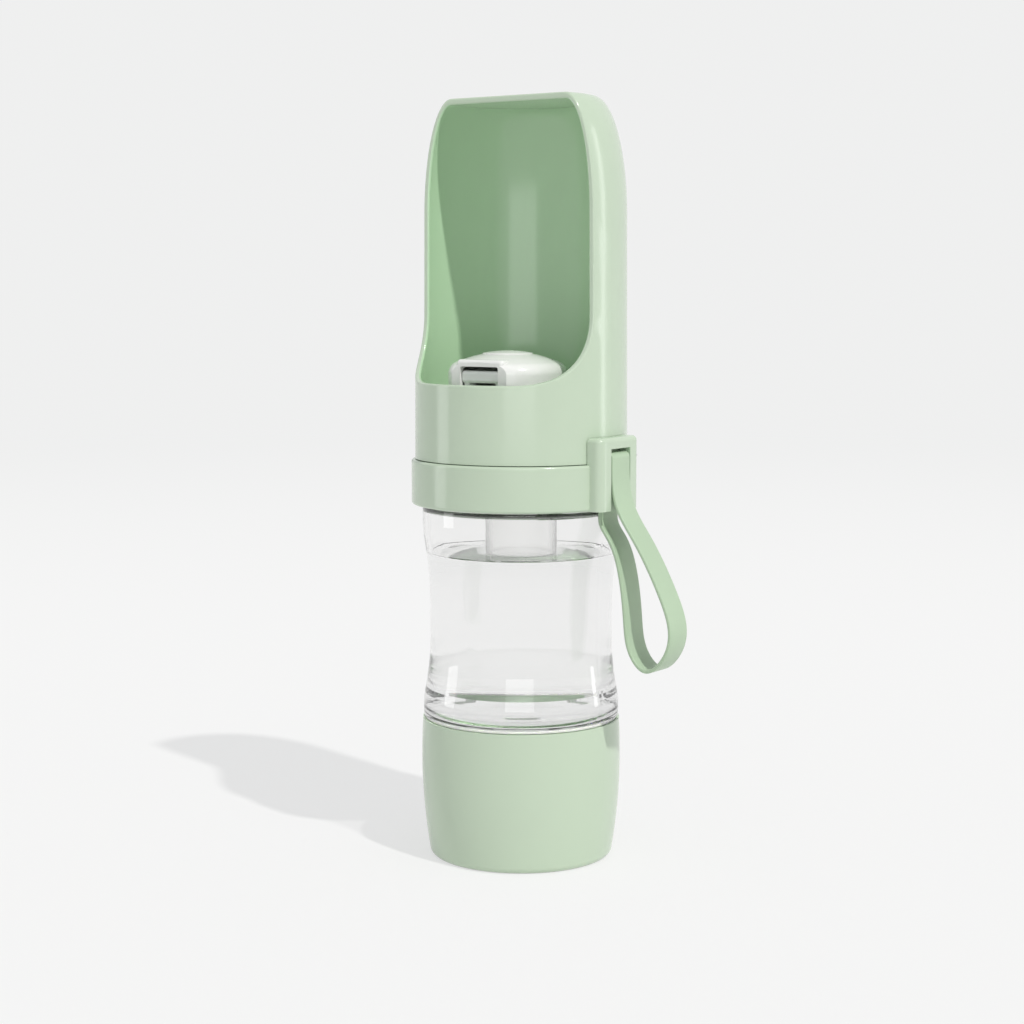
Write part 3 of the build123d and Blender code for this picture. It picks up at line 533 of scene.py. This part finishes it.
# %% [markdown]
# ## The strap
#
# The strap is a flat rubber band, folded over a pin and hanging as a loop. Its way is given by a
# few points, and a smooth line is worked out through them, as a bent band would lie. Geometry
# Nodes carry the band's section, a rectangle with rounded corners, along that line. The line's
# normal is fixed to the Y axis all the way round, and that keeps the band from twisting.

# %% The strap's line
pin_low, pin_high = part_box("strap_pin")
PIN = Vector(((pin_low.x + pin_high.x) / 2, 0.0, (pin_low.z + pin_high.z) / 2))
FOLD = 0.0014                       # from the pin's middle to the band's middle line
FOLD_POINTS = 9
SPAN_STEPS = 14                     # points of the smooth line from one given point to the next
# the hanging band's way, in millimetres out from the pin and down from it
HANG = [(1.5, 7.0), (3.6, 17.2), (10.2, 27.8), (21.4, 47.3), (25.4, 60.8), (22.4, 69.6),
        (15.4, 74.2), (10.2, 70.0), (7.1, 57.6), (4.6, 39.8), (0.1, 28.6), (-3.3, 23.0),
        (-3.1, 17.5)]
line = [PIN + Vector((out / 1000, 0, -down / 1000)) for out, down in HANG]
fold = [PIN + Vector((-FOLD * math.cos(t), 0, FOLD * math.sin(t)))
        for t in np.linspace(0, math.pi, FOLD_POINTS)]


def smooth_line(points, tangents, steps):
    """Points along the smooth curve through these points, with given directions at both ends."""
    p = np.array([list(q) for q in points])
    gap = np.linalg.norm(np.diff(p, axis=0), axis=1)
    count = len(p)
    matrix, right = np.zeros((count, count)), np.zeros((count, 3))
    matrix[0, 0] = matrix[-1, -1] = 1.0
    right[0], right[-1] = tangents
    for i in range(1, count - 1):
        a, b = gap[i - 1], gap[i]
        matrix[i, i - 1], matrix[i, i], matrix[i, i + 1] = b, 2 * (a + b), a
        right[i] = 3 * (b * (p[i] - p[i - 1]) / a + a * (p[i + 1] - p[i]) / b)
    slope = np.linalg.solve(matrix, right)
    found = []
    for i, h in enumerate(gap):
        for t in np.linspace(0, 1, steps, endpoint=False):
            found.append((2 * t**3 - 3 * t**2 + 1) * p[i]
                         + (t**3 - 2 * t**2 + t) * h * slope[i]
                         + (3 * t**2 - 2 * t**3) * p[i + 1]
                         + (t**3 - t**2) * h * slope[i + 1])
    return found


down_way = smooth_line([fold[-1], *line, fold[0]], ((0, 0, -1), (0, 0, 1)), SPAN_STEPS)
middle = [Vector(q) for q in down_way] + [Vector(q) for q in fold[:-1]]
length = sum((middle[i] - middle[i - 1]).length for i in range(len(middle)))
print("the strap's middle line is", round(length * 1000, 1), "mm long")

# %% The band tree
band = bpy.data.node_groups.new("band", "GeometryNodeTree")
add_socket(band, "Geometry", "NodeSocketGeometry", "INPUT")
for label, start in (("Width", 0.01), ("Thickness", 0.001), ("Corner", 0.0004)):
    add_socket(band, label, "NodeSocketFloat", "INPUT", start)
add_socket(band, "Finish", "NodeSocketMaterial", "INPUT")
add_socket(band, "Geometry", "NodeSocketGeometry", "OUTPUT")
inlet = put(band, "NodeGroupInput")
outlet = put(band, "NodeGroupOutput")
as_curve = put(band, "GeometryNodeMeshToCurve")
upright = put(band, "GeometryNodeSetCurveNormal", mode="FREE")
fix(upright, {"Normal": (0.0, 1.0, 0.0)})
oblong = put(band, "GeometryNodeCurvePrimitiveQuadrilateral")
rounded = put(band, "GeometryNodeFilletCurve", mode="POLY")
fix(rounded, {"Count": 5})
sweep = put(band, "GeometryNodeCurveToMesh")
real = put(band, "GeometryNodeRealizeInstances")
painted = put(band, "GeometryNodeSetMaterial")
wire(band,
     (inlet, "Geometry", as_curve, "Mesh"),
     (as_curve, "Curve", upright, "Curve"),
     (inlet, "Width", oblong, "Width"),
     (inlet, "Thickness", oblong, "Height"),
     (oblong, "Curve", rounded, "Curve"),
     (inlet, "Corner", rounded, "Radius"),
     (upright, "Curve", sweep, "Curve"),
     (rounded, "Curve", sweep, "Profile Curve"),
     (sweep, "Mesh", real, "Geometry"),
     (real, "Geometry", painted, "Geometry"),
     (inlet, "Finish", painted, "Material"),
     (painted, "Geometry", outlet, "Geometry"))
print("band tree inputs:", [s.name for s in band.interface.items_tree if s.in_out == "INPUT"])


# %% The strap's band
def box_of(piece):
    """Lowest and highest corner of a piece's mesh, for printing."""
    return [[round(end(v.co[k] for v in piece.data.vertices), 4) for k in range(3)]
            for end in (min, max)]


BAND_WIDTH, BAND_THICKNESS, BAND_CORNER = 0.0115, 0.0012, 0.0004
DOUBLES = 1e-6
ring_edges = [(i, (i + 1) % len(middle)) for i in range(len(middle))]
line_mesh = bpy.data.meshes.new("strap_line")
line_mesh.from_pydata([list(q) for q in middle], ring_edges, [])
strap = grown("strap_band", band, line_mesh, Width=BAND_WIDTH, Thickness=BAND_THICKNESS,
              Corner=BAND_CORNER, Finish=green_rubber)
shell = bmesh.new()
shell.from_mesh(strap.data)
bmesh.ops.remove_doubles(shell, verts=shell.verts, dist=DOUBLES)
bmesh.ops.recalc_face_normals(shell, faces=shell.faces)
shell.to_mesh(strap.data)
shell.free()
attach(strap, "strap")
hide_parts("strap")
print("the band's box", box_of(strap), "and the solid's",
      [[round(c, 4) for c in corner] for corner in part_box("strap")])

# %% [markdown]
# ## The water
#
# The water fills the bottle to just under the valve's barrel. Its surface isn't flat at the wall:
# it climbs it a little and makes the thin bright line that the eye expects. The side of the water
# lies a hair inside the plastic, so that light crosses from plastic to water with no air between.

# %% The bottle's inner wall
barrel_low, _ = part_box("valve_body")
LEVEL = barrel_low.z - 0.0002       # height of the water's surface
CORE = 0.02                         # the floor is read nearer the axis than this, the wall beyond
FLAT, FACING_IN = 0.99, -0.03       # how a normal points up at the floor, and in at the wall
plastic = node["bottle"].data
FLOOR = max(face.center.z for face in plastic.polygons
            if face.normal.z > FLAT and math.hypot(face.center.x, face.center.y) < CORE)
wall_points = {}
for face in plastic.polygons:
    out = Vector((face.center.x, face.center.y, 0))
    if out.length < CORE or face.center.z <= FLOOR:
        continue
    if face.normal.dot(out.normalized()) < FACING_IN:
        for index in face.vertices:
            corner = plastic.vertices[index].co
            wall_points[round(corner.z, 6)] = math.hypot(corner.x, corner.y)
wall_heights = sorted(wall_points)
wall_radii = [wall_points[z] for z in wall_heights]
print("inner wall read at", len(wall_heights), "heights above the floor at z", round(FLOOR, 5))


# %% A lathe for round pieces
LATHE_STEPS = 160
ON_AXIS = 1e-7


def lathe(name, outline, material):
    """A round piece from its outline, given as pairs of radius and height."""
    shell = bmesh.new()
    angles = [2 * math.pi * k / LATHE_STEPS for k in range(LATHE_STEPS)]
    rings = []
    for radius, height in outline:
        if radius < ON_AXIS:
            rings.append([shell.verts.new((0, 0, height))] * LATHE_STEPS)
        else:
            rings.append([shell.verts.new((radius * math.cos(a), radius * math.sin(a), height))
                          for a in angles])
    for lower, upper in zip(rings, rings[1:]):
        for k in range(LATHE_STEPS):
            after = (k + 1) % LATHE_STEPS
            ring = [lower[k], lower[after], upper[after], upper[k]]
            corners = [v for n, v in enumerate(ring) if v not in ring[:n]]
            if len(corners) > 2:
                shell.faces.new(corners)
    bmesh.ops.recalc_face_normals(shell, faces=shell.faces)
    mesh = bpy.data.meshes.new(name)
    shell.to_mesh(mesh)
    shell.free()
    mesh.materials.append(material)
    for face in mesh.polygons:
        face.use_smooth = True
    made = bpy.data.objects.new(name, mesh)
    bpy.context.scene.collection.objects.link(made)
    print(name, "has", len(mesh.polygons), "faces")
    return made


# %% The water's body
SINK = 0.00012                      # how far the water's side lies inside the plastic
CORNER = 0.008                      # rounding between the chamber's floor and its side
MENISCUS = 0.0011                   # height that the surface climbs at the wall
MENISCUS_FALL = 0.0009              # distance over which that height falls to about a third
RIM_SET = 0.0001                    # the surface starts this far in from the water's side
RIM_REACH = 0.006                   # and is curved over this distance
quarter = np.linspace(0.0, math.pi / 2, 24)
side_top = LEVEL + MENISCUS
heights = np.concatenate([FLOOR + CORNER * (1 - np.cos(quarter)),
                          np.linspace(FLOOR + CORNER, side_top, 60)[1:]])
radii = np.array([float(np.interp(z, wall_heights, wall_radii)) for z in heights])
rise, spread = np.gradient(heights), np.gradient(radii)
step = np.hypot(rise, spread)
side = list(zip(radii + SINK * rise / step, heights - SINK * spread / step))
rim_radius = side[-1][0] - RIM_SET
rim = [(rim_radius - d, LEVEL + MENISCUS * math.exp(-d / MENISCUS_FALL))
       for d in np.linspace(0.0, RIM_REACH, 14)]
outline = [(0.0, FLOOR - SINK), *side, *rim, (0.0, LEVEL)]
water = lathe("water", outline, water_material)
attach(water, "bottle")

# %% [markdown]
# ## Light
#
# The shadow in the picture gives the lamp away: its tip lies to the left and a little behind, so
# the lamp stands to the right and slightly in front, about 50 degrees up, and its edge is nearly
# sharp, so the lamp is small. A pale sky fills the rest. Three soft boxes are there for their
# reflections, which draw the upright streaks on the round plastic.

# %% The lamp
LAMP_RISE = math.radians(51.0)
LAMP_TURN = math.radians(16.5)      # from straight at the strap's side towards the opening
LAMP_POWER = 1.95
LAMP_WIDTH = math.radians(1.6)      # how wide the lamp looks from the bottle
lamp_way = Vector((math.cos(LAMP_TURN) * math.cos(LAMP_RISE),
                   -math.sin(LAMP_TURN) * math.cos(LAMP_RISE),
                   math.sin(LAMP_RISE)))
lamp_data = bpy.data.lights.new("lamp", "SUN")
lamp_data.energy = LAMP_POWER
lamp_data.angle = LAMP_WIDTH
lamp_data.color = (1.0, 0.985, 0.96)
lamp = bpy.data.objects.new("lamp", lamp_data)
lamp.rotation_euler = lamp_way.to_track_quat("Z", "Y").to_euler()
bpy.context.scene.collection.objects.link(lamp)
print("the lamp shines from", [round(c, 2) for c in lamp_way])


# %% The soft boxes
def soft_box(name, turn, reach, height, width, tall, power):
    """A soft box that stands round the bottle, turned from the camera's side by an angle."""
    data = bpy.data.lights.new(name, "AREA")
    data.shape = "RECTANGLE"
    data.size, data.size_y = width, tall
    data.energy = power
    box = bpy.data.objects.new(name, data)
    angle = CAMERA_TURN + math.radians(turn)
    box.location = (reach * math.sin(angle), -reach * math.cos(angle), height)
    box.rotation_euler = (math.pi / 2, 0, angle)
    box.visible_camera = box.visible_diffuse = box.visible_transmission = False
    bpy.context.scene.collection.objects.link(box)
    print(name, "at", [round(c, 2) for c in box.location])


soft_box("left_box", turn=-92, reach=0.9, height=0.22, width=0.26, tall=0.9, power=1.5)
soft_box("right_box", turn=97, reach=0.9, height=0.22, width=0.10, tall=0.9, power=0.95)
soft_box("front_box", turn=-2, reach=1.2, height=0.43, width=0.72, tall=0.66, power=3.0)

# %% [markdown]
# ## Floor and sky
#
# The picture's floor is nearly white and keeps a pale shadow. Making it so bright with lamps would
# burn out the bottle's own pale surfaces. Instead the camera sees the floor as mostly white light
# with a small share of its real shading, and so do reflections and light through the plastic. Far
# off, this look fades into the tone of the sky, so that no horizon shows. Every other ray meets a
# plain floor and a plain sky, which light the bottle.

# %% Two looks of one surface
HORIZON = (0.865, 0.868, 0.866, 1.0)


def two_looks(tree, real_look, seen_look, output):
    """One look for what is seen, straight or by way of the object, and a real one for the rest.

    Each look is a node and the name of its output.
    """
    rays = put(tree, "ShaderNodeLightPath")
    straight_or_glossy = put(tree, "ShaderNodeMath", operation="MAXIMUM")
    seen = put(tree, "ShaderNodeMath", operation="MAXIMUM")
    either = put(tree, "ShaderNodeMixShader")
    wire(tree,
         (rays, "Is Camera Ray", straight_or_glossy, 0),
         (rays, "Is Glossy Ray", straight_or_glossy, 1),
         (straight_or_glossy, "Value", seen, 0),
         (rays, "Is Transmission Ray", seen, 1),
         (seen, "Value", either, "Fac"),
         (*real_look, either, 1),
         (*seen_look, either, 2),
         (either, "Shader", output, "Surface"))
    print(output.name, "has two looks, with", len(tree.nodes), "nodes")


# %% The sky
SKY_FILL = 0.58
sky = bpy.data.worlds.new("sky")
bpy.context.scene.world = sky
sky.use_nodes = True
tree = sky.node_tree
fill = tree.nodes["Background"]
fix(fill, {"Color": (0.97, 0.985, 1.0, 1.0), "Strength": SKY_FILL})
seen_sky = put(tree, "ShaderNodeBackground")
fix(seen_sky, {"Color": HORIZON})
two_looks(tree, (fill, "Background"), (seen_sky, "Background"), tree.nodes["World Output"])

# %% The floor's surface
NEAR_GLOW = 0.604
FADE_START, FADE_END = 0.35, 2.2    # metres from the bottle's foot
paper = bpy.data.materials.new("white_floor")
paper.use_nodes = True
tree = paper.node_tree
tree.nodes.remove(tree.nodes["Principled BSDF"])
real_floor = put(tree, "ShaderNodeBsdfDiffuse")
fix(real_floor, {"Color": (0.90, 0.90, 0.895, 1.0)})
seen_shade = put(tree, "ShaderNodeBsdfDiffuse")
fix(seen_shade, {"Color": (0.30, 0.30, 0.30, 1.0)})
seen_glow = put(tree, "ShaderNodeEmission")
fix(seen_glow, {"Color": (1.0, 1.0, 0.998, 1.0), "Strength": NEAR_GLOW})
seen_near = put(tree, "ShaderNodeAddShader")
seen_far = put(tree, "ShaderNodeEmission")
fix(seen_far, {"Color": HORIZON})
place = put(tree, "ShaderNodeTexCoord")
distance = put(tree, "ShaderNodeVectorMath", operation="LENGTH")
fade = put(tree, "ShaderNodeMapRange", interpolation_type="SMOOTHSTEP")
fix(fade, {"From Min": FADE_START, "From Max": FADE_END})
seen_floor = put(tree, "ShaderNodeMixShader")
wire(tree,
     (place, "Object", distance, 0),
     (distance, "Value", fade, "Value"),
     (seen_shade, "BSDF", seen_near, 0),
     (seen_glow, "Emission", seen_near, 1),
     (fade, "Result", seen_floor, "Fac"),
     (seen_near, "Shader", seen_floor, 1),
     (seen_far, "Emission", seen_floor, 2))
two_looks(tree, (real_floor, "BSDF"), (seen_floor, "Shader"), tree.nodes["Material Output"])

# %% The floor
HALF = 12.0                         # half the floor's side
floor_corners = [(-HALF, -HALF, 0), (HALF, -HALF, 0), (HALF, HALF, 0), (-HALF, HALF, 0)]
floor_mesh = bpy.data.meshes.new("floor")
floor_mesh.from_pydata(floor_corners, [], [(0, 1, 2, 3)])
floor_mesh.materials.append(paper)
floor = bpy.data.objects.new("floor", floor_mesh)
bpy.context.scene.collection.objects.link(floor)
print("the floor is", 2 * HALF, "m wide")

# %% [markdown]
# ## Colour
#
# The colours are shown as they are written, with the plain transform.

# %% Finish
bpy.context.scene.view_settings.view_transform = "Standard"
